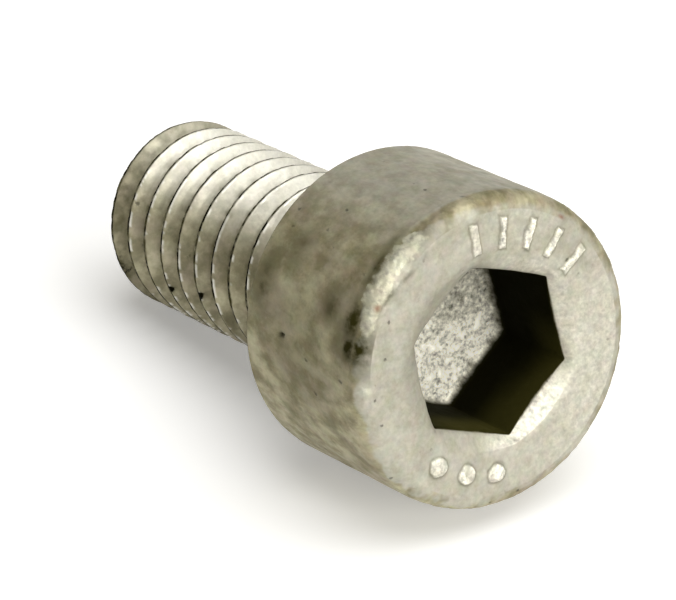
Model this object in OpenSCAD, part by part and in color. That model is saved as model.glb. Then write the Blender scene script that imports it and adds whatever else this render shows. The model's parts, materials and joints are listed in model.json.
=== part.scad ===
// A socket head cap screw, M6 x 12, lying on a flat surface on the back edge of its head and the crest at its tip.
// The screw is forged and rolled from one piece of steel, so it is one node.
// Lengths are millimetres and angles are degrees.
// It is drawn along +Z with its socket face at the origin, then laid down with its tip towards +Y.

/* [Head] */
// Diameter of the round head
head_d = 9.8; // [8.4:0.1:14]
// Height of the head, from the socket's face to the bearing face
head_h = 6; // [5.2:0.1:10]
// Radius of the rounded edge round the socket's face
front_edge_r = 0.5; // [0.1:0.05:0.7]
// Radius of the rounded edge round the bearing face
back_edge_r = 0.1; // [0.05:0.05:0.7]

/* [Socket] */
// Width of the hexagon across its flats
socket_af = 4.85; // [3.6:0.05:5.1]
// Depth of the hexagon below the face
socket_depth = 3.5; // [2:0.1:4.2]
// Diameter of the cone that opens the mouth of the hexagon
mouth_d = 6.1; // [5.9:0.1:6.6]
// Angle of that cone, from side to side
mouth_angle = 120; // [90:1:140]
// Turn of the hexagon about the screw's axis
socket_turn = 21.5; // [0:0.5:60]

/* [Shank] */
// Length from the bearing face to the tip
shank_len = 12; // [8:0.5:40]
// Diameter of the plain land under the head
land_d = 6; // [5.8:0.05:6.1]
// Length of the plain land, with its fillet
land_len = 1.2; // [0.6:0.1:3]
// Radius of the fillet where the land meets the head
fillet_r = 0.25; // [0.1:0.05:0.4]
// Diameter of the flat end of the tip
tip_d = 4.5; // [3.6:0.1:4.7]

/* [Thread] */
// Outside diameter of the thread, over its zinc coat
thread_d = 6.1; // [5.9:0.05:6.2]
// Pitch of the right-hand thread
thread_pitch = 1; // [0.75:0.05:1.1]
// Turn of the thread about the screw's axis
thread_turn = 219; // [0:1:360]

/* [Marks] */
// Height of the raised marks above the face
mark_h = 0.1; // [0.05:0.01:0.2]
// Clear width inside and outside the row of bars
mark_margin = 0.2; // [0.05:0.05:0.4]
// Number of radial bars
bars = 5; // [1:1:8]
// Width of each bar
bar_w = 0.22; // [0.1:0.02:0.4]
// Angle from one bar to the next
bar_step = 15; // [10:1:20]
// Diameter of each round pip
pip_d = 0.6; // [0.2:0.1:0.8]
// Angle from one pip to the next
pip_step = 17; // [14:1:30]

/* [Hidden] */
$fn = 96;
head_r = head_d / 2;
mouth_r = mouth_d / 2;
land_r = land_d / 2;
tip_r = tip_d / 2;
land_end = head_h + land_len;
total_len = head_h + shank_len;

// The thread has 60 degrees between its flanks and a crest of an eighth of the pitch
flank_slope = tan(30);
crest_r = thread_d / 2;
crest_w = thread_pitch / 8;
thread_depth = 0.6134 * thread_pitch;
root_r = crest_r - thread_depth;
run_out = (land_r - root_r) * flank_slope;

// The ridge of the thread is swept in straight pieces, with its base a little way inside the core.
// It starts inside the land, reaches its full height in one pitch, and runs on past the tip.
thread_steps = 36;
base_r = root_r - 0.06;
base_w = crest_w + 2 * (crest_r - base_r) * flank_slope;
ridge_from = land_end - base_w / 2;
ridge_to = total_len + base_w;

// A chamfer at 45 degrees takes the crest off the last turn
chamfer_from = total_len - (crest_r - tip_r);

// Angle 90 is underneath once the screw lies down, and the last whole crest there touches the surface
crest_below = (90 - thread_turn) / 360 * thread_pitch + crest_w / 2;
touch_z = crest_below + floor((chamfer_from - crest_below) / thread_pitch) * thread_pitch;

// The surface also touches the rounded back edge of the head, which sets the tilt and the axis's height
edge_z = head_h - back_edge_r;
edge_r = head_r - back_edge_r;
edge_to_crest = norm([touch_z - edge_z, edge_r - crest_r]);
tilt = atan2(edge_r - crest_r, touch_z - edge_z) + asin(back_edge_r / edge_to_crest);
face_height = edge_z * sin(tilt) + edge_r * cos(tilt) + back_edge_r;

// Foremost and rearmost points of the tilted screw, from the centre of its face
front_y = front_edge_r * (cos(tilt) - 1) - (head_r - front_edge_r) * sin(tilt);
rear_y = total_len * cos(tilt) + tip_r * sin(tilt);

// The marks share the flat band between the mouth and the rounded edge
band_w = head_r - front_edge_r - mouth_r;
band_r = mouth_r + band_w / 2;
bar_len = band_w - 2 * mark_margin;
bars_at = -65;
pips_at = 112;

// What a rounded edge of radius r takes off a square corner
module corner_waste(r) {
    difference() {
        square(2 * r);
        circle(r);
    }
}

// Half sections lie in the first quadrant, with the screw's axis along Y
module head_section() {
    difference() {
        square([head_r, head_h]);
        translate([head_r - front_edge_r, front_edge_r])
            mirror([0, 1])
                corner_waste(front_edge_r);
        translate([head_r - back_edge_r, head_h - back_edge_r])
            corner_waste(back_edge_r);
    }
}

module fillet_section() {
    difference() {
        translate([0, head_h]) square([land_r + fillet_r, fillet_r]);
        translate([land_r + fillet_r, head_h + fillet_r]) circle(fillet_r);
    }
}

module land_section() {
    polygon([
        [0, head_h],
        [land_r, head_h],
        [land_r, land_end],
        [root_r, land_end + run_out],
        [0, land_end + run_out],
    ]);
}

// What the chamfer and the flat end leave of the shank, wide enough to clear the crests elsewhere
module tip_section() {
    wide = crest_r + 1;
    polygon([
        [0, head_h],
        [wide, head_h],
        [wide, total_len - (wide - tip_r)],
        [tip_r, total_len],
        [0, total_len],
    ]);
}

function ridge_point(r, turn, z) = [r * cos(turn), r * sin(turn), z];

// The four corners of the ridge at step i: base, crest, crest and base
function ridge_ring(i) = let(
    z = ridge_from + i * thread_pitch / thread_steps,
    turn = thread_turn + z * 360 / thread_pitch,
    rise = min(1, max(0.05, (z - ridge_from) / thread_pitch)),
    top_r = base_r + rise * (crest_r - base_r)
) [
    ridge_point(base_r, turn, z - base_w / 2),
    ridge_point(top_r, turn, z - crest_w / 2),
    ridge_point(top_r, turn, z + crest_w / 2),
    ridge_point(base_r, turn, z + base_w / 2),
];

module ridge() {
    steps = ceil((ridge_to - ridge_from) / thread_pitch * thread_steps);
    points = [for (i = [0:steps]) each ridge_ring(i)];
    sides = [for (i = [0:steps - 1], k = [0:3])
        [4 * i + k, 4 * i + (k + 1) % 4, 4 * i + 4 + (k + 1) % 4, 4 * i + 4 + k]];
    end = 4 * steps;
    polyhedron(points, concat([[3, 2, 1, 0]], sides, [[end, end + 1, end + 2, end + 3]]));
}

module threaded_shank() {
    intersection() {
        union() {
            translate([0, 0, head_h])
                cylinder(r = root_r, h = shank_len + 1);
            ridge();
        }
        rotate_extrude() tip_section();
    }
}

// The cutters start above the face, so that they leave no skin over the mouth
module socket() {
    above = 1;
    translate([0, 0, -above])
        rotate(socket_turn)
            cylinder(d = socket_af / cos(30), h = socket_depth + above, $fn = 6);
    translate([0, 0, -above])
        cylinder(r = mouth_r, h = above);
    cylinder(r1 = mouth_r, r2 = 0, h = mouth_r / tan(mouth_angle / 2));
}

// A row of raised bars on the upper side of the face and three pips on the lower side
module marks() {
    for (i = [0:bars - 1])
        rotate(bars_at + (i - (bars - 1) / 2) * bar_step)
            translate([band_r - bar_len / 2, -bar_w / 2, -mark_h])
                cube([bar_len, bar_w, 2 * mark_h]);
    for (i = [-1:1])
        rotate(pips_at + i * pip_step)
            translate([band_r, 0, -mark_h])
                cylinder(d = pip_d, h = 2 * mark_h);
}

module screw() {
    difference() {
        union() {
            rotate_extrude() {
                head_section();
                fillet_section();
                land_section();
            }
            threaded_shank();
        }
        socket();
    }
    marks();
}

module cap_screw() {
    color("#a39f8c")
        translate([0, -(front_y + rear_y) / 2, face_height])
            rotate([-90 - tilt, 0, 0])
                screw();
}

cap_screw();
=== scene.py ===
# A short zinc-coated cap screw, lying on a white surface
import json

import bpy
import numpy as np
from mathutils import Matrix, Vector


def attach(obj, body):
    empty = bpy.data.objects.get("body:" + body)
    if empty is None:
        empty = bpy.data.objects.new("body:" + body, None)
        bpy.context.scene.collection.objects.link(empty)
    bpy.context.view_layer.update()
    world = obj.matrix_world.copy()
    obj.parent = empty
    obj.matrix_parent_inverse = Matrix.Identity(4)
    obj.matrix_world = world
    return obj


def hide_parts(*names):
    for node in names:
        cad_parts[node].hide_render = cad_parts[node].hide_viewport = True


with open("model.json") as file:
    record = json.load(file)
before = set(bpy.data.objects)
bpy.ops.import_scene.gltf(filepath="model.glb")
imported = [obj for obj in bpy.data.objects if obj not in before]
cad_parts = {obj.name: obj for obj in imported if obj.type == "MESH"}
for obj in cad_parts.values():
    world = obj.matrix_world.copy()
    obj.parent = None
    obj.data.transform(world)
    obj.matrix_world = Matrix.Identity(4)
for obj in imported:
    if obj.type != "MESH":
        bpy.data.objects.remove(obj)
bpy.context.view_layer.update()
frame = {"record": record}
mounts = {mount["name"]: mount for mount in frame["record"]["mounts"]}
print("frame loaded")

# The screw's own frame, in millimetres: z runs from the socket's face to the tip, and y points down.
# Angles about its axis are in degrees: -90 is on top, 90 underneath, 0 at the right and 180 at the left.
millimetre = 0.001
faceCentre = np.array(mounts["hex_socket"]["pos_m"])
axisWay = np.array(mounts["thread"]["axis"])
sideWay = np.array([1.0, 0.0, 0.0])
downWay = np.cross(axisWay, sideWay)
ownFrame = np.stack([sideWay, downWay, axisWay])
latticeSize = 32  # cells of the noise before it repeats
latticeShift = 100  # keeps every place in the lattice above zero
leastLength = 1e-12  # keeps a normal finite where points meet


# Own x, y and z times the three ways of the own frame, moved to the face's centre
def laidDown(points):
    return faceCentre + millimetre * points @ ownFrame


# 0 below low, 1 above high, and the cubic 3t^2 - 2t^3 between them
def ramp(low, high, value):
    t = np.clip((value - low) / (high - low), 0, 1)
    return t * t * (3 - 2 * t)


# The bell exp(-d^2), with d the distance from the centre in widths
def bell(value, centre, width):
    return np.exp(-(((value - centre) / width) ** 2))


# Signed angle from one direction to another, in degrees from -180 to 180
def angleFrom(theta, degrees):
    return (np.degrees(theta) - degrees + 180) % 360 - 180


# 1 to so many degrees either side of a direction, 0 past gone degrees, and the cubic ramp between them
def sector(theta, direction, whole, gone):
    return ramp(gone, whole, np.abs(angleFrom(theta, direction)))


# A soft spot: exp(-d^2), with d the distance in sizes from a point at angle theta and at along,
# which is z on the head's side and on the shank, and the radius on the head's face
def spot(theta, radius, along, at):
    off = (along - at["along"]) / at["tall"]
    around = np.radians(angleFrom(theta, at["theta"])) * radius / at["wide"]
    return np.exp(-(off**2) - around**2)


# Random heights on a cubic lattice, blended by the cubic ramp, and half as much again in cells half the size
def smoothNoise(points, cell, seed):
    total = np.zeros(points.shape[:-1])
    for octave in range(2):
        size = (latticeSize, latticeSize, latticeSize)
        lattice = np.random.default_rng(seed + octave).uniform(-1, 1, size)
        scaled = points * 2**octave / cell + latticeShift
        corner = np.floor(scaled).astype(int)
        t = scaled - corner
        t = t * t * (3 - 2 * t)
        for step in np.ndindex(2, 2, 2):
            weight = np.prod(np.abs(1 - np.array(step) - t), axis=-1)
            at = (corner + np.array(step)) % latticeSize
            total += weight * lattice[at[..., 0], at[..., 1], at[..., 2]] / 2**octave
    return total


# The sum of the noises, each times its share
def blend(noises, shares):
    return sum(share * noises[name] for name, share in shares.items())


# Cross product of a grid's differences down its rows and round its columns, scaled to length 1
def gridNormals(points):
    along = np.gradient(points, axis=0)
    wrapped = np.concatenate([points[:, -1:], points, points[:, :1]], axis=1)
    around = (wrapped[:, 2:] - wrapped[:, :-2]) / 2
    normal = np.cross(along, around)
    length = np.linalg.norm(normal, axis=-1, keepdims=True)
    return normal / np.maximum(length, leastLength)


# A mesh of the points laid down in the frame, with one value of each mask at every vertex
def makePiece(name, points, faces, masks, material):
    mesh = bpy.data.meshes.new(name)
    mesh.from_pydata(laidDown(points).tolist(), [], faces)
    for maskName, values in masks.items():
        layer = mesh.attributes.new(maskName, "FLOAT", "POINT")
        layer.data.foreach_set("value", np.asarray(values, dtype=np.float32))
    mesh.polygons.foreach_set("use_smooth", np.ones(len(mesh.polygons), dtype=bool))
    mesh.materials.append(material)
    mesh.update()
    piece = bpy.data.objects.new(name, mesh)
    bpy.context.scene.collection.objects.link(piece)
    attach(piece, "root")
    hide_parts("cap_screw")
    print(name, "has", len(mesh.polygons), "faces")


headCoat = {
    "sideColour": (0.47, 0.435, 0.28),  # olive drab of the rolled side
    "sideDark": (0.215, 0.19, 0.10),
    "sideBrown": (0.36, 0.31, 0.215),
    "paleColour": (0.465, 0.448, 0.372),  # rubbed zinc
    "paleDark": (0.395, 0.375, 0.30),
    "bareAndHighlightColour": (0.90, 0.87, 0.745),  # cleanest zinc, and the colour of painted highlights
    "flakeColour": (0.62, 0.60, 0.465),  # crust on the front edge
    # the stain and grime colours also paint shade
    "stainAndShadeColour": (0.055, 0.05, 0.011),
    "grimeAndShadeColour": (0.008, 0.0075, 0.0015),
    "rustColour": (0.20, 0.07, 0.025),
    "metallic": 0.45,
    "bareMatt": 0.3,  # how much less metallic the sandy bare zinc is
    "roughness": 0.52,
    "roughSwing": 0.06,  # how much the blotches change the roughness, either way
    "dirtAndShadeRough": 0.5,  # added to the roughness under dirt and painted shade
    "perMetre": (1000, 640, 1000),  # patches are longer along the screw, the way it was rolled
    "blotch": 0.6,  # sizes of the patterns, in mm
    "brownCloud": 1.6,
    "mottle": 0.2,
    "tint": 0.35,
    "grain": 0.12,
    "sand": 0.24,
    "stainCloud": 0.3,
    "fleck": 0.16,
    "pit": 0.6,
    "pitCloud": 1.7,
    "uneven": 0.07,  # how much the mottle darkens and lightens
    "hue": 0.15,  # how much the tint shows
    "grainShade": 0.25,  # how much the grain darkens and lightens
    "bareGrain": 2.0,  # added to it on bare zinc
    "sandShare": 0.7,  # height of the sand beside the grain
    "sandMiddle": 0.83,  # mean height of the two together
    "stainThin": 0.62,  # the strength of stain and painted shade where its clouds are thin, and thick
    "stainThick": 1.12,
    "fleckTear": 0.9,  # how far the flecks move a torn edge
    "tornFrom": 0.35,
    "tornTo": 0.65,
    "pitRagged": 0.22,  # how far the grain moves a pit's edge
    "pitInner": 0.04,
    "pitOuter": 0.12,
    "pitDark": 0.6,
    "pitDepth": 0.8,
    "relief": 0.00002,  # height of the grain, in m
    "reliefStrength": 0.6,
}
threadCoat = headCoat | {
    "perMetre": (1000, 1000, 1000),
    "bareAndHighlightColour": (0.90, 0.885, 0.81),
    "paleColour": (0.86, 0.84, 0.75),
    "paleDark": (0.73, 0.705, 0.60),
    "metallic": 0.55,
    "roughness": 0.4,
    "blotch": 0.7,
    "uneven": 0.03,
    "hue": 0.08,
    "bareGrain": 0.1,
    "bareMatt": 0.0,
    "pit": 0.9,
    "relief": 0.000015,
}
# Each noise pattern's detail and roughness, and where it is stretched, the values that become 0 and 1
patterns = {
    "blotch": {"detail": 5, "rough": 0.6, "low": 0.32, "high": 0.68},
    "brownCloud": {"detail": 2, "rough": 0.55, "low": 0.4, "high": 0.7},
    "mottle": {"detail": 3, "rough": 0.6, "low": 0.3, "high": 0.7},
    "stainCloud": {"detail": 3, "rough": 0.55, "low": 0.3, "high": 0.7},
    "pitCloud": {"detail": 2, "rough": 0.55, "low": 0.42, "high": 0.56},
    "tint": {"detail": 3, "rough": 0.5},
    "grain": {"detail": 3, "rough": 0.65},
    "sand": {"detail": 2, "rough": 0.5},
    "fleck": {"detail": 3, "rough": 0.6},
}


# One node, with its inputs set by name or place: a socket is linked, and anything else is its value
def addNode(tree, kind, inputs=(), **settings):
    node = tree.nodes.new(kind)
    for name, value in settings.items():
        setattr(node, name, value)
    for key, value in dict(inputs).items():
        if isinstance(value, bpy.types.NodeSocket):
            tree.links.new(value, node.inputs[key])
        else:
            node.inputs[key].default_value = value
    return node


# The first colour where the factor is 0, and the second, or its blend with the first, where it is 1
def mixColours(tree, factor, first, second, blendType="MIX"):
    inputs = {0: factor}
    for socket, colour in ((6, first), (7, second)):
        isSocket = isinstance(colour, bpy.types.NodeSocket)
        inputs[socket] = colour if isSocket else (*colour, 1)
    return addNode(tree, "ShaderNodeMix", inputs, data_type="RGBA", blend_type=blendType).outputs[2]


# The operation on the values, in their order: MULTIPLY_ADD is the first times the second, plus the third
def mathNode(tree, operation, *values, clamp=False):
    inputs = dict(enumerate(values))
    return addNode(tree, "ShaderNodeMath", inputs, operation=operation, use_clamp=clamp).outputs[0]


# Low to high becomes toLow to toHigh, smooth at both ends
def rangeNode(tree, value, low, high, toLow=0.0, toHigh=1.0):
    inputs = {"Value": value, "From Min": low, "From Max": high, "To Min": toLow, "To Max": toHigh}
    return addNode(tree, "ShaderNodeMapRange", inputs, interpolation_type="SMOOTHSTEP").outputs[0]


# Each colour laid over the last as far as its mask says: side, rubbed, bare and crust, shaded by the grain,
# then pits, stain, soot, grime and rust. The rubbed and bare masks also carry painted highlights, and the
# stain, soot and grime masks painted shade. Dirt and painted shade, the greatest of these three, raise the
# metallic value, so that they mirror only their own dark colour and have no grey sheen.
def zincMaterial(name, coat):
    material = bpy.data.materials.new(name)
    material.use_nodes = True
    tree = material.node_tree
    tree.nodes.clear()
    place = addNode(tree, "ShaderNodeTexCoord").outputs["Object"]
    scaling = {"Vector": place, "Scale": coat["perMetre"]}
    inMillimetres = addNode(tree, "ShaderNodeMapping", scaling).outputs[0]

    # Noise with cells of the coat's size for that pattern
    def noise(pattern, output="Fac"):
        shape = patterns[pattern]
        inputs = {"Vector": inMillimetres, "Scale": 1 / coat[pattern]}
        inputs |= {"Detail": shape["detail"], "Roughness": shape["rough"]}
        return addNode(tree, "ShaderNodeTexNoise", inputs).outputs[output]

    # The same noise, stretched from its own low and high to 0 and 1, or to the two values given
    def clouds(pattern, toLow=0.0, toHigh=1.0):
        shape = patterns[pattern]
        return rangeNode(tree, noise(pattern), shape["low"], shape["high"], toLow, toHigh)

    # The piece's values of that name
    def mask(attribute):
        return addNode(tree, "ShaderNodeAttribute", attribute_name=attribute).outputs["Fac"]

    # A mask whose edge the flecks tear: 0 stays 0, 1 stays 1, and a half becomes flecks
    def ragged(attribute):
        tear = coat["fleckTear"]
        shift = mathNode(tree, "MULTIPLY_ADD", noise("fleck"), tear, -tear / 2)
        torn = mathNode(tree, "ADD", mask(attribute), shift)
        return rangeNode(tree, torn, coat["tornFrom"], coat["tornTo"])

    blotches = clouds("blotch")
    speckle = noise("grain")
    pitInputs = {"Vector": inMillimetres, "Scale": 1 / coat["pit"], "Randomness": 1.0}
    pitDistance = addNode(tree, "ShaderNodeTexVoronoi", pitInputs).outputs["Distance"]
    centred = mathNode(tree, "SUBTRACT", speckle, 0.5)
    pitEdge = mathNode(tree, "MULTIPLY_ADD", centred, coat["pitRagged"], pitDistance)
    pits = rangeNode(tree, pitEdge, coat["pitOuter"], coat["pitInner"])
    pits = mathNode(tree, "MULTIPLY", pits, clouds("pitCloud"))

    sideClean = mixColours(tree, clouds("brownCloud"), coat["sideColour"], coat["sideBrown"])
    side = mixColours(tree, blotches, coat["sideDark"], sideClean)
    pale = mixColours(tree, blotches, coat["paleDark"], coat["paleColour"])
    colour = mixColours(tree, mask("rubbed"), side, pale)
    colour = mixColours(tree, mask("bareAndHighlight"), colour, coat["bareAndHighlightColour"])
    colour = mixColours(tree, ragged("flake"), colour, coat["flakeColour"])

    mottleShade = clouds("mottle", 1 - coat["uneven"], 1 + coat["uneven"])
    depth = mathNode(tree, "MULTIPLY_ADD", mask("bareAndHighlight"), coat["bareGrain"], coat["grainShade"])
    sand = mathNode(tree, "MULTIPLY_ADD", noise("sand"), coat["sandShare"], speckle)
    centred = mathNode(tree, "SUBTRACT", sand, coat["sandMiddle"])
    grainShade = mathNode(tree, "MULTIPLY_ADD", centred, depth, 1.0)
    shade = mathNode(tree, "MULTIPLY", grainShade, mottleShade)
    colour = mixColours(tree, 1.0, colour, shade, "MULTIPLY")
    colour = mixColours(tree, coat["hue"], colour, noise("tint", "Color"), "SOFT_LIGHT")

    pitShade = mathNode(tree, "MULTIPLY", pits, coat["pitDark"])
    colour = mixColours(tree, pitShade, colour, coat["grimeAndShadeColour"])
    stainClouds = clouds("stainCloud", coat["stainThin"], coat["stainThick"])
    stainAndShade = mathNode(tree, "MULTIPLY", mask("stainAndShade"), stainClouds, clamp=True)
    colour = mixColours(tree, stainAndShade, colour, coat["stainAndShadeColour"])
    sootAndShade = mask("sootAndShade")
    colour = mixColours(tree, sootAndShade, colour, coat["grimeAndShadeColour"])
    grimeAndShade = ragged("grimeAndShade")
    colour = mixColours(tree, grimeAndShade, colour, coat["grimeAndShadeColour"])
    colour = mixColours(tree, mask("rust"), colour, coat["rustColour"])

    height = mathNode(tree, "MULTIPLY_ADD", pits, -coat["pitDepth"], speckle)
    relief = {"Strength": coat["reliefStrength"], "Distance": coat["relief"], "Height": height}
    bump = addNode(tree, "ShaderNodeBump", relief).outputs[0]
    rough, swing = coat["roughness"], coat["roughSwing"]
    clouded = rangeNode(tree, blotches, 0.0, 1.0, rough + swing, rough - swing)
    dirtAndShade = mathNode(tree, "MAXIMUM", stainAndShade, mathNode(tree, "MAXIMUM", grimeAndShade, sootAndShade))
    roughness = mathNode(tree, "MULTIPLY_ADD", dirtAndShade, coat["dirtAndShadeRough"], clouded, clamp=True)
    dulled = mathNode(tree, "MULTIPLY_ADD", mask("bareAndHighlight"), -coat["bareMatt"], coat["metallic"])
    metallic = mathNode(tree, "MAXIMUM", dirtAndShade, dulled)
    inputs = {"Base Color": colour, "Metallic": metallic, "Roughness": roughness, "Normal": bump}
    shader = addNode(tree, "ShaderNodeBsdfPrincipled", inputs)
    addNode(tree, "ShaderNodeOutputMaterial", {"Surface": shader.outputs[0]})
    return material


head = {
    "radius": 4.9,
    "height": 6.0,
    "frontEdge": 0.5,
    "backEdge": 0.1,
    "mouthRadius": 3.05,
    "mouthAngle": 120,
    "mouthRound": 30,  # times the mouth's edge is averaged with its neighbours
    "mouthWhole": 0.15,  # averaged in full this near the mouth, and not at all past the next
    "mouthGone": 0.5,
    "socketFlats": 4.85,
    "socketCorner": 0.12,
    "socketDepth": 3.5,
    "socketTurn": 21.5,
    "innerRing": 3.22,  # where the bearing face passes under the shank's fillet
    "rows": {
        "bearing": 3,
        "rearEdge": 6,
        "side": 42,
        "frontEdge": 17,
        "face": 44,
        "cone": 9,
        "wall": 10,
        "bottom": 12,
    },
    "bottomCrowding": 1.5,  # more than 1 brings the bottom's rows together at its edge
    "columns": (64, 150, 76, 126, 150, 110),  # in each sixth, from one corner of the socket to the next
    "noises": {"fine": (0.28, 11), "coarse": (1.3, 21), "flaky": (0.16, 51)},  # cell and seed
    # Heights of the waves on each part
    "sideWaves": {"fine": 0.0099, "coarse": 0.0121},
    "faceWaves": {"fine": 0.0132, "coarse": 0.0088},
    "socketWaves": {"fine": 0.008},
    "edgeWorn": 0.025,  # wear of the front edge all round, and what is added where it is chipped
    "edgeChipped": 0.035,
    "chips": {"coarse": 0.3, "fine": 0.3, "flaky": 0.5},
    "chipLevel": 0.7,
    "edgeFade": 0.22,  # the chips grow to their full depth over this width
    "pitDepth": 0.12,
    "highest": 0.01,  # wear leaves nothing higher than this above the plain shape
    # Directions, with the degrees either side to which each is whole, and past which it is gone
    "sectors": {
        "chipped": (-140, 24, 48),
        "held": (-133, 12, 27),
        "left": (180, 60, 95),
        "top": (-88, 15, 45),
        "crusted": (-136, 16, 34),
        "brownLine": (-146, 22, 40),
        "crack": (-138, 8, 15),
        "lipShade": (-150, 35, 85),
        "lowRight": (70, 15, 42),
        "olive": (70, 45, 85),
    },
    # The rubbed colour reaches back to this z, further at the left and where hands hold it, and along the
    # top as a painted highlight
    "rubbed": {
        "start": 0.04,
        "left": 0.13,
        "held": 0.38,
        "wave": 0.04,
        "leftWave": 0.06,
        "soft": 0.07,
        "top": 0.8,
    },
    # Bare zinc grows across the face and the cone, between these two values of x; on the face this is
    # painted light, brighter to the right
    "faceLightToRight": {"amount": 0.22, "low": -1.0, "high": 4.2},
    "bareCone": {"amount": 0.2, "low": -0.5, "high": 2.0, "lowRight": 0.35},
    # bare zinc on the marks' tops, with painted glints
    "marksBareAndGlint": {"level": 0.6, "fine": 0.35},
    # Crust on the front edge: from the rubbed line to a ring on the face, both torn
    "crust": {
        "amount": 0.56,
        "whole": 0.03,
        "gone": 0.17,
        "tearBack": 0.1,
        "ringWhole": 4.62,
        "ringGone": 4.4,
        "tearFront": 0.08,
    },
    "crack": {"radius": 4.48, "perDegree": -0.02, "from": -140, "wander": 0.06, "width": 0.09, "stainAndShade": 0.5},
    "crackBreaks": {"level": 0.75, "flaky": 0.8, "least": 0.1},
    # painted shade on the face at the mouth's lip, at the left
    "lipShade": {"radius": 2.95, "width": 0.4, "stainAndShade": 0.22},
    "frontDepth": 0.3,  # crack and lip show no deeper than this
    "brownLine": {"behind": 0.14, "width": 0.08, "stainAndShade": 0.6, "level": 0.7},
    # the rear edge is darker
    "rearDarker": {"level": 0.5, "fine": 0.4},
    "faceShade": {"theta": -42, "along": 4.1, "wide": 1.6, "tall": 0.9, "stainAndShade": 0.13},
    "faceShadeClouds": 0.8,
    # The socket's walls are dark with painted shade, and olive near the mouth at the lower right
    "wall": {"stainAndShade": 1.7, "sootAndShade": 0.97, "olive": 0.92, "shallow": 0.7, "deep": 2.2, "coarse": 0.3},
    # Its bottom has painted shade towards the top, between these two values of y, and in the corners beside
    # the walls
    "bottomTopShade": {"stainAndShade": 0.55, "low": 0.9, "high": -0.4, "level": 0.9, "fine": 0.3},
    "bottomCornerShade": {"stainAndShade": 0.75, "gone": 0.35, "tear": 0.1, "sootGone": 0.06},
    "bottomGrime": {"amount": 0.8, "above": 0.4, "most": 0.5},
    "spots": {
        "rimLow": {"theta": -163, "along": 0.24, "wide": 0.75, "tall": 0.3, "stainAndShade": 1.05, "sootAndShade": 0.1},
        "rimDark": {"theta": -163, "along": 0.6, "wide": 0.5, "tall": 0.3, "stainAndShade": 1.2, "sootAndShade": 0.4},
        "rimShade": {"theta": -154, "along": 0.7, "wide": 0.9, "tall": 0.45, "stainAndShade": 1.05, "sootAndShade": 0.1},
        "rimCloud": {"theta": -158, "along": 1.05, "wide": 1.4, "tall": 0.8, "stainAndShade": 0.5, "sootAndShade": 0.0},
        "sideCloud": {"theta": -152, "along": 1.8, "wide": 0.8, "tall": 0.6, "stainAndShade": 0.72, "sootAndShade": 0.0},
        "topCloud": {"theta": -122, "along": 0.75, "wide": 0.6, "tall": 0.3, "stainAndShade": 0.65, "sootAndShade": 0.0},
        "rimTop": {"theta": -114, "along": 0.22, "wide": 0.8, "tall": 0.3, "stainAndShade": 0.5, "sootAndShade": 0.0},
        "rimBrown": {"theta": -134, "along": 0.7, "wide": 0.9, "tall": 0.25, "stainAndShade": 0.9, "sootAndShade": 0.1},
        "backCloud": {"theta": -139, "along": 4.35, "wide": 0.9, "tall": 0.6, "stainAndShade": 0.68, "sootAndShade": 0.0},
        "rearCloud": {"theta": -154, "along": 5.4, "wide": 1.2, "tall": 0.7, "stainAndShade": 0.75, "sootAndShade": 0.0},
        # painted shade over the left of the side
        "leftSideShade": {"theta": -172, "along": 3.2, "wide": 2.6, "tall": 2.4, "stainAndShade": 0.36, "sootAndShade": 0.0},
        "sidePit": {"theta": -169, "along": 4.05, "wide": 0.08, "tall": 0.12, "stainAndShade": 1.0, "sootAndShade": 1.0},
    },
    "rustSpots": {
        "leftSpeck": {"theta": -146, "along": 4.66, "wide": 0.12, "tall": 0.09, "rust": 0.8},
        "topSpeck": {"theta": -52, "along": 4.5, "wide": 0.12, "tall": 0.06, "rust": 0.8},
    },
    # Five raised bars at the top of the face and three round pips at its bottom
    "marks": {
        "height": 0.1,
        "margin": 0.2,
        "bars": 5,
        "barWidth": 0.24,
        "barStep": 15,
        "barsAt": -65,
        "pips": 3,
        "pipsAt": 112,
        "pipStep": 17,
        "pipRadius": 0.3,
        "shoulder": 0.05,
        "ragged": {"fine": 0.035, "flaky": 0.02},
        "edgeShare": 0.65,  # of the height at a mark's edge, growing to 1 over the width of its dome
        "dome": 0.14,
        "level": 0.85,
        "fine": 0.3,
        "footWidth": 0.12,  # painted shade darkens the foot of each mark
        "footShade": 0.5,
    },
}


# Distance from the axis to a hexagon whose corners are arcs. With off the angle from the nearest corner,
# a flat is at half the flats / cos(30 - off), and an arc at m cos(off) + sqrt(c^2 - (m sin(off))^2),
# where c is the corner's radius and m the distance to the arc's centre.
def hexRadius(theta):
    turned = theta - np.radians(head["socketTurn"])
    off = np.abs((turned + np.pi / 6) % (np.pi / 3) - np.pi / 6)
    inner = head["socketFlats"] / 2
    corner = head["socketCorner"]
    middle = (inner - corner) / np.cos(np.pi / 6)
    arcEnd = np.arctan2(corner / 2, middle + corner * np.cos(np.pi / 6))
    arc = middle * np.cos(off) + np.sqrt(np.maximum(corner**2 - (middle * np.sin(off)) ** 2, 0))
    return np.where(off < arcEnd, arc, inner / np.cos(np.pi / 6 - off))


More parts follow.
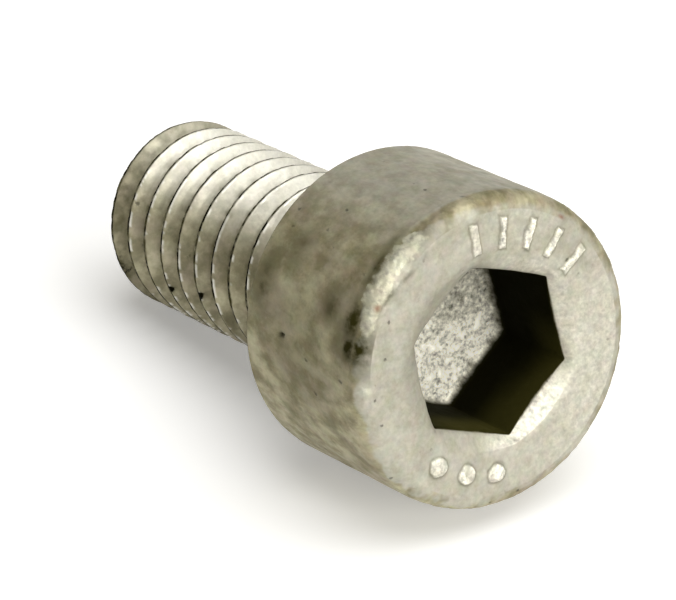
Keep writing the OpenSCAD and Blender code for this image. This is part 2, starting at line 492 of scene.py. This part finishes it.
# Signed distance on the face to the nearest outline of a raised mark, below zero inside it: a bar is the
# greater of its distances across and along, and a pip the distance from its centre less its radius
def markDistance(theta, radius):
    marks = head["marks"]
    band = head["radius"] - head["frontEdge"] - head["mouthRadius"]
    middle = head["mouthRadius"] + band / 2
    halfLong = band / 2 - marks["margin"]
    nearest = np.full_like(radius, head["radius"])
    for i in range(marks["bars"]):
        at = marks["barsAt"] + (i - (marks["bars"] - 1) / 2) * marks["barStep"]
        turn = np.radians(angleFrom(theta, at))
        across = np.abs(radius * np.sin(turn)) - marks["barWidth"] / 2
        along = np.abs(radius * np.cos(turn) - middle) - halfLong
        nearest = np.minimum(nearest, np.maximum(across, along))
    for i in range(marks["pips"]):
        at = marks["pipsAt"] + (i - (marks["pips"] - 1) / 2) * marks["pipStep"]
        turn = np.radians(angleFrom(theta, at))
        reach = np.hypot(radius * np.sin(turn), radius * np.cos(turn) - middle)
        nearest = np.minimum(nearest, reach - marks["pipRadius"])
    return nearest


# Radius and z of the rows in each part, from the bearing face round to the centre of the socket's bottom:
# t runs from 0 to 1, straight parts are linear in it and edges are quarter circles
def headRows(corner):
    outer, tall, depth = head["radius"], head["height"], head["socketDepth"]
    front, back = head["frontEdge"], head["backEdge"]
    ring, mouth = head["innerRing"], head["mouthRadius"]
    coneDepth = (mouth - corner) / np.tan(np.radians(head["mouthAngle"] / 2))
    t = {part: np.linspace(0, 1, steps, endpoint=False)[:, None] for part, steps in head["rows"].items()}
    sine = {part: np.sin(t[part] * np.pi / 2) for part in ("rearEdge", "frontEdge")}
    cosine = {part: np.cos(t[part] * np.pi / 2) for part in ("rearEdge", "frontEdge")}
    radius = {
        "bearing": ring + (outer - back - ring) * t["bearing"],
        "rearEdge": outer - back * (1 - sine["rearEdge"]),
        "side": outer,
        "frontEdge": outer - front * (1 - cosine["frontEdge"]),
        "face": outer - front - (outer - front - mouth) * t["face"],
        "cone": mouth + (corner - mouth) * t["cone"],
        "wall": corner,
        "bottom": corner * (1 - t["bottom"] ** head["bottomCrowding"]),
    }
    z = {
        "bearing": tall,
        "rearEdge": tall - back * (1 - cosine["rearEdge"]),
        "side": tall - back - (tall - back - front) * t["side"],
        "frontEdge": front * (1 - sine["frontEdge"]),
        "face": 0.0,
        "cone": coneDepth * t["cone"],
        "wall": coneDepth + (depth - coneDepth) * t["wall"],
        "bottom": depth,
    }
    shapes = {part: (steps, corner.size) for part, steps in head["rows"].items()}
    radius = np.concatenate([np.broadcast_to(radius[part], shape) for part, shape in shapes.items()])
    z = np.concatenate([np.broadcast_to(z[part], shape) for part, shape in shapes.items()])
    return radius, z


# Each row drawn towards (row before + 2 row + row after) / 4, as far as the weight says
def easeRows(values, weight, times):
    for repeat in range(times):
        eased = values.copy()
        eased[1:-1] = (values[:-2] + 2 * values[1:-1] + values[2:]) / 4
        values += weight * (eased - values)


# How far each point is pushed out along its normal: waves on each part, chips on the front edge, one pit
# in the side, and the raised marks, which are highest inside
def headWear(at, on, near, noises):
    marks = head["marks"]
    edgeStart = head["radius"] - head["frontEdge"]
    onEdge = ramp(edgeStart, edgeStart + head["edgeFade"], at["radius"])
    chipped = head["edgeWorn"] + head["edgeChipped"] * near["chipped"]
    chips = blend(noises, head["chips"]) - head["chipLevel"]
    push = on("side") * blend(noises, head["sideWaves"])
    push = push + on("frontEdge") * chipped * onEdge * chips
    push += on("frontEdge", "face") * (1 - onEdge) * blend(noises, head["faceWaves"])
    push += on("cone", "wall", "bottom") * blend(noises, head["socketWaves"])
    pit = spot(at["angle"], at["radius"], at["z"], head["spots"]["sidePit"])
    push -= head["pitDepth"] * pit * on("side")
    push = np.minimum(push, head["highest"])
    domed = marks["edgeShare"] + (1 - marks["edgeShare"]) * ramp(0.0, -marks["dome"], at["toMark"])
    raised = marks["level"] + marks["fine"] * noises["fine"]
    return push + marks["height"] * at["marked"] * domed * raised


# Rubbed, bare and crusted zinc, with painted light on the top of the side, the right of the face and the
# marks' tops: each is a soft step at a line or ring, times the sectors it lies in
def headZinc(at, on, near, noises):
    rub, crust, face, cone = head["rubbed"], head["crust"], head["faceLightToRight"], head["bareCone"]
    fine, flaky = noises["fine"], noises["flaky"]
    wave = (rub["wave"] + rub["leftWave"] * near["left"]) * (noises["coarse"] + fine)
    line = rub["start"] + rub["left"] * near["left"] + rub["held"] * near["held"] + wave
    rubbed = on("side", "frontEdge") * ramp(rub["soft"], -rub["soft"], at["z"] - line)
    # Painted highlight: the rubbed colour along the top of the side
    rubbed = np.maximum(rubbed, rub["top"] * near["top"] * on("side"))
    rubbed = np.where(on("face", "cone", "bottom"), 1.0, rubbed)

    across = at["radius"] * np.cos(at["angle"])
    # Bare zinc with painted glints on the marks' tops
    marksBareAndGlint = at["marked"] * (head["marksBareAndGlint"]["level"] + head["marksBareAndGlint"]["fine"] * fine)
    # Painted light: the face brighter towards the right
    faceLightToRight = face["amount"] * ramp(face["low"], face["high"], across) * (1 - at["shaded"])
    bareCone = cone["amount"] * ramp(cone["low"], cone["high"], across) + cone["lowRight"] * near["lowRight"]
    bareAndHighlight = on("face") * (faceLightToRight + marksBareAndGlint) + on("cone") * bareCone + on("bottom")

    behind = at["z"] - line - crust["tearBack"] * flaky
    outward = at["radius"] + crust["tearFront"] * flaky
    flake = crust["amount"] * near["crusted"] * ramp(crust["gone"], crust["whole"], behind)
    flake = flake * ramp(crust["ringGone"], crust["ringWhole"], outward) * ~on("cone", "wall", "bottom")
    return line, {"rubbed": rubbed, "bareAndHighlight": bareAndHighlight, "flake": flake}


# Stain, soot, grime and rust, and painted shade in the socket, round the marks, on the mouth's lip and on
# the left of the side: the greatest of the soft spots, bells and steps that each part has
def headDirtAndShade(at, on, near, noises, line):
    angle, radius, z = at["angle"], at["radius"], at["z"]
    fine, coarse, flaky = noises["fine"], noises["coarse"], noises["flaky"]
    outside = ~on("face", "cone", "wall", "bottom")
    stainAndShade, sootAndShade, rust = np.zeros((3, *radius.shape))
    for values in head["spots"].values():
        here = spot(angle, radius, z, values) * outside
        stainAndShade = np.maximum(stainAndShade, values["stainAndShade"] * here)
        sootAndShade = np.maximum(sootAndShade, values["sootAndShade"] * here)
    for values in head["rustSpots"].values():
        here = spot(angle, radius, radius, values) * on("frontEdge", "face")
        rust = np.maximum(rust, values["rust"] * here)

    rear, brown, lipShade = head["rearDarker"], head["brownLine"], head["lipShade"]
    # The rear edge is darker
    stainAndShade = np.maximum(stainAndShade, (rear["level"] + rear["fine"] * fine) * on("rearEdge"))
    shade = head["faceShade"]["stainAndShade"] * at["shaded"] * on("face")
    cloudy = head["faceShadeClouds"] * (1 + coarse)
    stainAndShade = np.maximum(stainAndShade, shade * np.clip(cloudy, 0, 1))
    # Painted shade round the foot of each mark
    foot = ramp(head["marks"]["footWidth"], 0.0, at["toMark"]) * (1 - at["marked"]) * on("face")
    stainAndShade = np.maximum(stainAndShade, head["marks"]["footShade"] * foot)
    brownLine = bell(z - line, brown["behind"], brown["width"]) * near["brownLine"] * outside
    stainAndShade = np.maximum(stainAndShade, brown["stainAndShade"] * brownLine * np.clip(brown["level"] + fine, 0, 1))

    crack, breaks = head["crack"], head["crackBreaks"]
    slant = crack["perDegree"] * angleFrom(angle, crack["from"])
    crackAt = crack["radius"] + slant + crack["wander"] * coarse
    crackLine = bell(radius, crackAt, crack["width"]) * near["crack"]
    crackLine = crackLine * np.clip(breaks["level"] + breaks["flaky"] * flaky, breaks["least"], 1)
    # Painted shade on the mouth's lip
    lipLine = bell(radius, lipShade["radius"], lipShade["width"]) * near["lipShade"]
    lines = np.maximum(crack["stainAndShade"] * crackLine, lipShade["stainAndShade"] * lipLine)
    stainAndShade = np.maximum(stainAndShade, lines * on("frontEdge", "face", "cone") * (z < head["frontDepth"]))

    wall, top, edge = head["wall"], head["bottomTopShade"], head["bottomCornerShade"]
    # Painted shade darkens the walls, less so and olive near the mouth at the lower right
    olive = near["olive"] * ramp(wall["deep"], wall["shallow"], z + wall["coarse"] * coarse)
    stainAndShade = np.where(on("wall"), wall["stainAndShade"], stainAndShade)
    sootAndShade = np.where(on("wall"), wall["sootAndShade"] - wall["olive"] * olive, sootAndShade)
    # Painted shade towards the top of the bottom and in its corners beside the walls
    high = top["stainAndShade"] * ramp(top["low"], top["high"], at["down"])
    high = high * np.clip(top["level"] + top["fine"] * fine, 0, 1)
    besideWall = edge["stainAndShade"] * ramp(edge["gone"], 0.0, at["toWall"] + edge["tear"] * fine)
    stainAndShade = np.where(on("bottom"), np.maximum(besideWall, high), stainAndShade)
    sootAndShade = np.where(on("bottom"), ramp(edge["sootGone"], 0.0, at["toWall"]), sootAndShade)
    specks = head["bottomGrime"]
    grimeAndShade = specks["amount"] * np.clip(fine - specks["above"], 0, specks["most"]) * on("bottom")
    return {"stainAndShade": stainAndShade, "sootAndShade": sootAndShade, "grimeAndShade": grimeAndShade, "rust": rust}


# The rows swept round the axis: x and y are the radius times cosine and sine of the column's angle. Quads
# join each row to the next, and a fan of triangles closes each end at the axis.
def headPiece():
    sixths = [60 * (i + np.arange(count) / count) for i, count in enumerate(head["columns"])]
    theta = np.radians(head["socketTurn"] + np.concatenate(sixths))
    corner = hexRadius(theta)
    names = np.repeat(list(head["rows"]), list(head["rows"].values()))

    # True in the rows of the parts named
    def on(*parts):
        return np.isin(names, parts)[:, None]

    # Edges soften towards their neighbours, the mouth most, and the crisp rear rim not at all
    radius, z = headRows(corner)
    for values in (radius, z):
        easeRows(values, ~on("bearing", "rearEdge", "side"), 2)
    toMouth = np.abs(radius - head["mouthRadius"])
    nearMouth = ramp(head["mouthGone"], head["mouthWhole"], toMouth) * on("face", "cone")
    for values in (radius, z):
        easeRows(values, nearMouth, head["mouthRound"])

    angle = np.ones_like(radius) * theta
    points = np.stack([radius * np.cos(angle), radius * np.sin(angle), z], axis=-1)
    noises = {name: smoothNoise(points, *values) for name, values in head["noises"].items()}
    near = {name: sector(angle, *values) for name, values in head["sectors"].items()}
    at = {"angle": angle, "radius": radius, "z": z, "toWall": corner - radius}
    at["shaded"] = spot(angle, radius, radius, head["faceShade"])
    at["toMark"] = markDistance(angle, radius) + blend(noises, head["marks"]["ragged"])
    shoulder = head["marks"]["shoulder"] / 2
    at["marked"] = ramp(shoulder, -shoulder, at["toMark"]) * on("face")
    points = points + gridNormals(points) * headWear(at, on, near, noises)[..., None]
    at["down"] = points[..., 1]
    line, masks = headZinc(at, on, near, noises)
    masks |= headDirtAndShade(at, on, near, noises, line)

    rows, columns = radius.shape
    first = np.arange(rows - 1)[:, None] * columns
    here = np.arange(columns)
    after = (here + 1) % columns
    corners = [first + here, first + columns + here, first + columns + after, first + after]
    quads = np.stack(corners, axis=-1).reshape(-1, 4)
    backPole, frontPole = rows * columns, rows * columns + 1
    last = (rows - 1) * columns
    backFan = np.stack([np.full(columns, backPole), here, after], axis=-1)
    frontFan = np.stack([np.full(columns, frontPole), last + after, last + here], axis=-1)
    poles = [[0, 0, head["height"]], [0, 0, head["socketDepth"]]]
    allPoints = np.concatenate([points.reshape(-1, 3), poles])
    faces = quads.tolist() + backFan.tolist() + frontFan.tolist()

    # Stain and painted shade may run past 1, where its clouds aren't to thin it. Both poles are clean, and
    # the front one bare.
    for name, values in masks.items():
        most = 2 if name == "stainAndShade" else 1
        atPoles = [0, 1] if name in ("rubbed", "bareAndHighlight") else [0, 0]
        masks[name] = np.append(np.clip(values, 0, most), atPoles)
    makePiece("screw_head", allPoints, faces, masks, zincMaterial("head zinc", headCoat))


headPiece()

shank = {
    "length": 12.0,
    "landRadius": 3.0,
    "landLength": 1.2,
    "fillet": 0.25,
    "tipRadius": 2.25,
    "inset": 0.2,  # how far the shank reaches into the head
    "threadRadius": 3.05,
    "pitch": 1.0,
    "threadTurn": 219,
    "flankAngle": 30,
    "depthShare": 0.6134,  # depth of the thread, in pitches
    "crestShare": 0.125,  # width of its crest, in pitches
    "samples": 280,  # points in one turn
    "crestRows": (-0.035, -0.01, 0.01, 0.035),  # in pitches from the middle of the crest
    "flankRows": (0, 0.012, 0.045, 0.08, 0.14, 0.21, 0.28, 0.335, 0.375, 0.41),  # and from its edges
    "tipRings": 8,
    "threadFrom": -0.45,  # the thread rises out of its root between these, from the end of the land
    "threadTo": 0.55,
    "noises": {"fine": (0.2, 31), "coarse": (1.1, 41)},  # cell and seed
    "wander": {"fine": 0.012, "coarse": 0.012},  # how far the crest's line strays, in pitches
    "wearWhole": 0.05,  # wear of the crest is whole to here from its middle, and gone past the next
    "wearGone": 0.16,
    "wear": 0.025,
    "wearShape": {"fine": 0.8, "coarse": 0.4},
    "wearLevel": 0.35,
    "rough": 0.014,
    "roughShape": {"fine": 0.6, "coarse": 0.4},
    "roughLevel": 0.6,
    "threadedBy": 0.6,  # the thread's own dirt begins over this length, past the land
    "chamferFrom": -0.05,  # the chamfer's own look begins between these, from its edge
    "chamferTo": 0.1,
    # Directions, with the degrees either side to which each is whole, and past which it is gone
    "sectors": {"low": (165, 35, 112), "tipLeft": (175, 45, 75), "top": (-95, 25, 60)},
    # painted shade in the thread's root
    "rootShade": {"low": 0.24, "high": 0.36, "fine": 0.02, "stainAndShade": 0.6, "fineStain": 0.3, "chamfer": 0.6},
    # Painted shade: the dark line on the crest's edge that faces the tip, wider on the lower left
    "crestLine": {
        "start": -0.035,
        "whole": 0.0,
        "fading": 0.085,
        "end": 0.12,
        "wider": 0.03,
        "stainAndShade": 0.9,
        "grimeAndShade": 0.42,
        "lowGrime": 0.12,
        "fineGrime": 0.25,
    },
    "dull": {"start": 1.75, "whole": 1.2, "wave": 0.1, "share": 0.75, "amount": 0.9, "stainAndShade": 0.4},
    # painted shade on the lower left of the thread
    "lowSideShade": {"amount": 0.22, "level": 0.6},
    # The bright line on the crest's other edge
    "glint": {"start": -0.1, "whole": -0.07, "fading": -0.02, "end": 0.0, "amount": 0.9},
    "glintBreaks": {"coarse": 0.2, "low": 0.05, "high": 0.3},
    # painted highlight along the top of the thread, in the bare colour
    "topHighlight": 0.25,
    # less rubbed colour on the dull end, and painted shade in the root and on the lower left
    "unrubbed": {"dull": 0.95, "root": 0.5, "low": 0.9},
    "tipEnd": {"rubbed": 0.2, "stainAndShade": 0.3},
    "startPole": {"rubbed": 0.9},
    "spots": {
        "firstPit": {"theta": 170, "along": 11.79, "wide": 0.14, "tall": 0.08, "stainAndShade": 1.0, "grimeAndShade": 1.0},
        "secondPit": {"theta": 163, "along": 13.78, "wide": 0.12, "tall": 0.08, "stainAndShade": 1.0, "grimeAndShade": 1.0},
        "tipPatch": {"theta": 160, "along": 16.8, "wide": 0.6, "tall": 0.3, "stainAndShade": 0.9, "grimeAndShade": 0.5},
    },
}


# Radius of the thread's root: crest radius less the depth
def rootRadius():
    return shank["threadRadius"] - shank["depthShare"] * shank["pitch"]


# Radius at x pitches from the crest's middle: the crest, then flanks that fall by the distance past it
# over the tangent of their angle, and the root where they would fall deeper
def threadRadius(x):
    slope = np.tan(np.radians(shank["flankAngle"]))
    fall = np.maximum(np.abs(x) - shank["crestShare"] / 2, 0) * shank["pitch"] / slope
    return np.maximum(shank["threadRadius"] - fall, rootRadius())


# Rows at z = pitch (turn + x - phase) follow the thread, so each row ends where the row one pitch on begins
def threadRows(start, end):
    side = shank["crestShare"] / 2 + np.array(shank["flankRows"])
    across = np.concatenate([-side[::-1], shank["crestRows"], side])
    turn = np.arange(shank["samples"]) / shank["samples"]
    phase = shank["threadTurn"] / 360
    pitch = shank["pitch"]
    firstPitch = int(np.floor(start / pitch + phase)) - 2
    pitches = np.arange(firstPitch, int(np.ceil(end / pitch + phase)) + 2)
    x = np.tile(across, len(pitches))[:, None]
    z = pitch * (np.repeat(pitches, len(across))[:, None] + x + turn - phase)
    return x, z, turn, len(across)


# The greatest of land, thread and fillet, cut by the 45 degree chamfer and roughened past the fillet.
# The thread rises from its root by a ramp, the land runs out at the slope of the flanks, and the fillet
# is a quarter circle.
def shankRadius(x, z, noises):
    tall, land, fillet = head["height"], shank["landRadius"], shank["fillet"]
    landEnd, end = tall + shank["landLength"], tall + shank["length"]
    root = rootRadius()
    crest = ramp(shank["wearGone"], shank["wearWhole"], np.abs(x))
    profile = threadRadius(x + blend(noises, shank["wander"]) * crest)
    worn = np.clip(shank["wearLevel"] + blend(noises, shank["wearShape"]), 0, 1)
    profile = profile - shank["wear"] * crest * worn
    grown = ramp(landEnd + shank["threadFrom"], landEnd + shank["threadTo"], z)
    thread = root + (profile - root) * grown
    runOut = land - (z - landEnd) / np.tan(np.radians(shank["flankAngle"]))
    radius = np.maximum(thread, np.clip(runOut, root, land))
    into = np.clip((tall + fillet - z) / fillet, 0, 1)
    radius = np.maximum(radius, (land + fillet * (1 - np.sqrt(1 - into**2))) * (into > 0))
    radius = np.minimum(radius, end + shank["tipRadius"] - z)
    rough = blend(noises, shank["roughShape"]) - shank["roughLevel"]
    return radius + shank["rough"] * rough * (z > tall + fillet)


# Painted shade is deep in the root, in a line on the crest's edge towards the tip and on the lower left, and
# dirt is in a few spots. The last turn and the chamfer are dull, painted highlights lie on the crest's other
# edge and on the top, and the rest is rubbed.
def shankMasks(x, theta, z, noises):
    fine, coarse = noises["fine"], noises["coarse"]
    deep, line, dulled = shank["rootShade"], shank["crestLine"], shank["dull"]
    shine, breaks, unrubbed = shank["glint"], shank["glintBreaks"], shank["unrubbed"]
    landEnd = head["height"] + shank["landLength"]
    end = head["height"] + shank["length"]
    near = {name: sector(theta, *values) for name, values in shank["sectors"].items()}
    threaded = ramp(landEnd, landEnd + shank["threadedBy"], z)
    pastEdge = z - end + shank["threadRadius"] - shank["tipRadius"]
    chamfered = ramp(shank["chamferFrom"], shank["chamferTo"], pastEdge)
    # Painted shade deep in the root
    root = ramp(deep["low"], deep["high"], np.abs(x) + deep["fine"] * fine)
    root = root * threaded * (1 - deep["chamfer"] * chamfered)
    # Painted shade in a line on the crest's edge towards the tip
    edge = ramp(line["start"], line["whole"], x + line["wider"] * near["low"])
    edge = edge * ramp(line["end"], line["fading"], x) * threaded * (1 - chamfered)
    crestPlace = z - shank["pitch"] * x + dulled["wave"] * coarse
    lastTurn = ramp(end - dulled["start"], end - dulled["whole"], crestPlace)
    lastTurn = lastTurn * (dulled["share"] + (1 - dulled["share"]) * near["tipLeft"])
    dull = np.maximum(chamfered, dulled["amount"] * lastTurn)

    # Painted shade on the lower left
    lowSideShade = shank["lowSideShade"]["amount"] * near["low"] * (shank["lowSideShade"]["level"] + coarse)
    rootShading = root * (deep["stainAndShade"] + deep["fineStain"] * fine)
    lineOrRoot = np.maximum(line["stainAndShade"] * edge, rootShading)
    stainAndShade = np.maximum(dulled["stainAndShade"] * dull + lowSideShade, lineOrRoot)
    grimeAndShade = edge * (line["grimeAndShade"] + line["lowGrime"] * near["low"] + line["fineGrime"] * fine)
    for values in shank["spots"].values():
        here = spot(theta, shank["landRadius"], z, values)
        stainAndShade = np.maximum(stainAndShade, values["stainAndShade"] * here)
        grimeAndShade = np.maximum(grimeAndShade, values["grimeAndShade"] * here)

    glint = ramp(shine["start"], shine["whole"], x) * ramp(shine["end"], shine["fading"], x)
    glint = glint * (1 - lastTurn)
    glint = glint * ramp(breaks["low"], breaks["high"], fine + breaks["coarse"] * coarse)
    # Painted highlights: the glint on the crest's edge and the top of the thread
    bareAndHighlight = np.maximum(shine["amount"] * glint, shank["topHighlight"] * near["top"] * (1 - dull))
    rootOrLow = np.maximum(unrubbed["root"] * root, unrubbed["low"] * near["low"])
    rubbed = 1 - np.maximum(unrubbed["dull"] * dull, rootOrLow)
    return {"rubbed": rubbed, "bareAndHighlight": bareAndHighlight, "stainAndShade": stainAndShade, "grimeAndShade": grimeAndShade}


# Quads as they are where their corners differ, and as triangles where two neighbouring corners are one
def wholeFaces(quads):
    same = quads == np.roll(quads, -1, axis=1)
    faces = quads[same.sum(axis=1) == 0].tolist()
    for corner in range(4):
        single = quads[(same.sum(axis=1) == 1) & same[:, corner]]
        faces += np.delete(single, corner, axis=1).tolist()
    return faces


# The thread's rows as x and y = radius times cosine and sine of the turn. The last column joins the first
# one pitch on, a ring closes each end of the rows, and rings and a fan close the tip on the axis.
def shankPiece():
    start = head["height"] - shank["inset"]
    end = head["height"] + shank["length"]
    x, z, turn, perPitch = threadRows(start, end)
    theta = 2 * np.pi * turn * np.ones_like(z)
    land = shank["landRadius"]
    cylinder = np.stack([np.cos(theta) * land, np.sin(theta) * land, z], axis=-1)
    noises = {name: smoothNoise(cylinder, *values) for name, values in shank["noises"].items()}
    radius = shankRadius(x, z, noises)
    masks = shankMasks(x, theta, z, noises)

    rows, columns = z.shape
    rings = shank["tipRings"]
    across = np.ones((1, columns))
    inward = 1 - np.arange(rings)[:, None] / rings
    startRadius = (land + shank["fillet"]) * across
    tipRadius = shank["tipRadius"] * inward * across
    radius = np.concatenate([radius, startRadius, tipRadius])
    theta = np.concatenate([theta, 2 * np.pi * turn * np.ones((1 + rings, columns))])
    z = np.concatenate([z, start * across, end * np.ones((rings, columns))])
    points = np.stack([radius * np.cos(theta), radius * np.sin(theta), z], axis=-1)
    allPoints = np.concatenate([points.reshape(-1, 3), [[0, 0, start], [0, 0, end]]])
    startPole, endPole = z.size, z.size + 1

    # Rows past either end give way to the ring that closes it
    grid = np.arange(z.size).reshape(z.shape)
    grid[:rows] = np.where(z[:rows] <= start, grid[rows], grid[:rows])
    grid[:rows] = np.where(z[:rows] >= end, grid[rows + 1], grid[:rows])
    low, high = grid[: rows - 1], grid[1:rows]
    inner = np.stack([low[:, :-1], low[:, 1:], high[:, 1:], high[:, :-1]], axis=-1).reshape(-1, 4)
    seamLow, seamHigh = grid[perPitch : rows - 1, 0], grid[perPitch + 1 : rows, 0]
    joined = rows - 1 - perPitch
    seam = np.stack([low[:joined, -1], seamLow, seamHigh, high[:joined, -1]], axis=-1)
    tip = grid[rows + 1 :]
    nextTip = np.roll(tip, -1, axis=1)
    disc = np.stack([tip[:-1], nextTip[:-1], nextTip[1:], tip[1:]], axis=-1).reshape(-1, 4)
    quads = np.concatenate([inner, seam, disc])
    around = grid[rows]
    startFan = np.stack([np.full(columns, startPole), np.roll(around, -1), around], axis=-1)
    endFan = np.stack([np.full(columns, endPole), tip[-1], nextTip[-1]], axis=-1)

    # Points that no face uses are left out, and the rest are numbered again
    used = np.unique(np.concatenate([quads.ravel(), startFan.ravel(), endFan.ravel()]))
    place = np.zeros(len(allPoints), dtype=int)
    place[used] = np.arange(len(used))
    faces = wholeFaces(place[quads]) + place[startFan].tolist() + place[endFan].tolist()
    closing = len(allPoints) - rows * columns
    for name in ("rubbed", "bareAndHighlight", "stainAndShade", "grimeAndShade"):
        ending = np.full(closing, shank["tipEnd"].get(name, 0.0))
        ending[startPole - rows * columns] = shank["startPole"].get(name, 0.0)
        masks[name] = np.clip(np.append(masks[name], ending), 0, 1)[used]
    for name in ("flake", "sootAndShade", "rust"):
        masks[name] = np.zeros(len(used))
    makePiece("screw_shank", allPoints[used], faces, masks, zincMaterial("thread zinc", threadCoat))


shankPiece()

floor = {
    "size": 3.0,
    "colour": (0.9, 0.9, 0.9),
    "lift": 0.3,  # added where the camera or the metal sees it
}
lamps = {
    "overhead": {"from": (0.0, -0.32, 1.0), "strength": 2.05, "spread": 54, "colour": (1, 1, 1)},
    "key": {"from": (0.5, -0.6, 0.66), "strength": 0.35, "spread": 40, "colour": (1, 1, 0.98)},
    "front": {"from": (0.0, -0.92, 0.36), "strength": 1.52, "spread": 26, "colour": (1, 0.99, 0.95)},
}
surround = {
    "colour": (1, 0.93, 0.72),
    "strength": 0.14,
    "shineColour": (1, 0.99, 0.93),
    "shine": 0.5,  # what the metal mirrors
    "white": 1.0,  # what the camera sees
}


# A square of the floor's size at z = 0. What it shows the camera and the metal is lifted a little,
# and it keeps the shadow.
def layFloor():
    half = floor["size"] / 2
    corners = [(-half, -half, 0), (half, -half, 0), (half, half, 0), (-half, half, 0)]
    mesh = bpy.data.meshes.new("floor")
    mesh.from_pydata(corners, [], [(0, 1, 2, 3)])
    material = bpy.data.materials.new("white floor")
    material.use_nodes = True
    tree = material.node_tree
    tree.nodes.clear()
    rays = addNode(tree, "ShaderNodeLightPath").outputs
    seen = mathNode(tree, "MAXIMUM", rays["Is Camera Ray"], rays["Is Glossy Ray"])
    seen = mathNode(tree, "MAXIMUM", seen, rays["Is Transmission Ray"])
    lift = mathNode(tree, "MULTIPLY", seen, floor["lift"])
    matt = addNode(tree, "ShaderNodeBsdfDiffuse", {"Color": (*floor["colour"], 1)}).outputs[0]
    glow = addNode(tree, "ShaderNodeEmission", {"Strength": lift}).outputs[0]
    both = addNode(tree, "ShaderNodeAddShader", {0: matt, 1: glow}).outputs[0]
    addNode(tree, "ShaderNodeOutputMaterial", {"Surface": both})
    mesh.materials.append(material)
    plane = bpy.data.objects.new("floor", mesh)
    bpy.context.scene.collection.objects.link(plane)


# Sun lamps that shine from their own direction, each as wide as its spread
def hangLamps():
    for name, values in lamps.items():
        lamp = bpy.data.lights.new(name, "SUN")
        lamp.energy = values["strength"]
        lamp.angle = np.radians(values["spread"])
        lamp.color = values["colour"]
        holder = bpy.data.objects.new(name, lamp)
        holder.rotation_euler = Vector(values["from"]).to_track_quat("Z", "Y").to_euler()
        bpy.context.scene.collection.objects.link(holder)


# The world is white to the camera, pale where the metal mirrors it, and dim as a light
def setSurround():
    world = bpy.data.worlds.new("surround")
    world.use_nodes = True
    tree = world.node_tree
    tree.nodes.clear()

    def background(colour, strength):
        inputs = {"Color": (*colour, 1), "Strength": strength}
        return addNode(tree, "ShaderNodeBackground", inputs).outputs[0]

    rays = addNode(tree, "ShaderNodeLightPath").outputs
    seen = mathNode(tree, "MAXIMUM", rays["Is Camera Ray"], rays["Is Transmission Ray"])
    white = background((1, 1, 1), surround["white"])
    dim = background(surround["colour"], surround["strength"])
    pale = background(surround["shineColour"], surround["shine"])
    unseen = addNode(tree, "ShaderNodeMixShader", {0: rays["Is Glossy Ray"], 1: dim, 2: pale}).outputs[0]
    allRays = addNode(tree, "ShaderNodeMixShader", {0: seen, 1: unseen, 2: white}).outputs[0]
    addNode(tree, "ShaderNodeOutputWorld", {"Surface": allRays})
    bpy.context.scene.world = world


layFloor()
hangLamps()
setSurround()
print("floor and lamps set")

camera = {
    "place": (-0.068489, -0.101758, 0.073729),
    "elevation": 29.773,
    "azimuth": -34.053,
    "lens": 242.29,
    "sensor": 36,
    "nearest": 0.01,
    "furthest": 10,
}


# The camera stands at its place, tipped down by the elevation from level and turned by the azimuth
def setCamera():
    data = bpy.data.cameras.new("camera")
    data.lens = camera["lens"]
    data.sensor_width = camera["sensor"]
    data.clip_start = camera["nearest"]
    data.clip_end = camera["furthest"]
    holder = bpy.data.objects.new("camera", data)
    holder.location = camera["place"]
    holder.rotation_euler = np.radians([90 - camera["elevation"], 0, camera["azimuth"]])
    bpy.context.scene.collection.objects.link(holder)
    bpy.context.scene.camera = holder


setCamera()
print("camera set")

bpy.context.scene.view_settings.view_transform = "Standard"
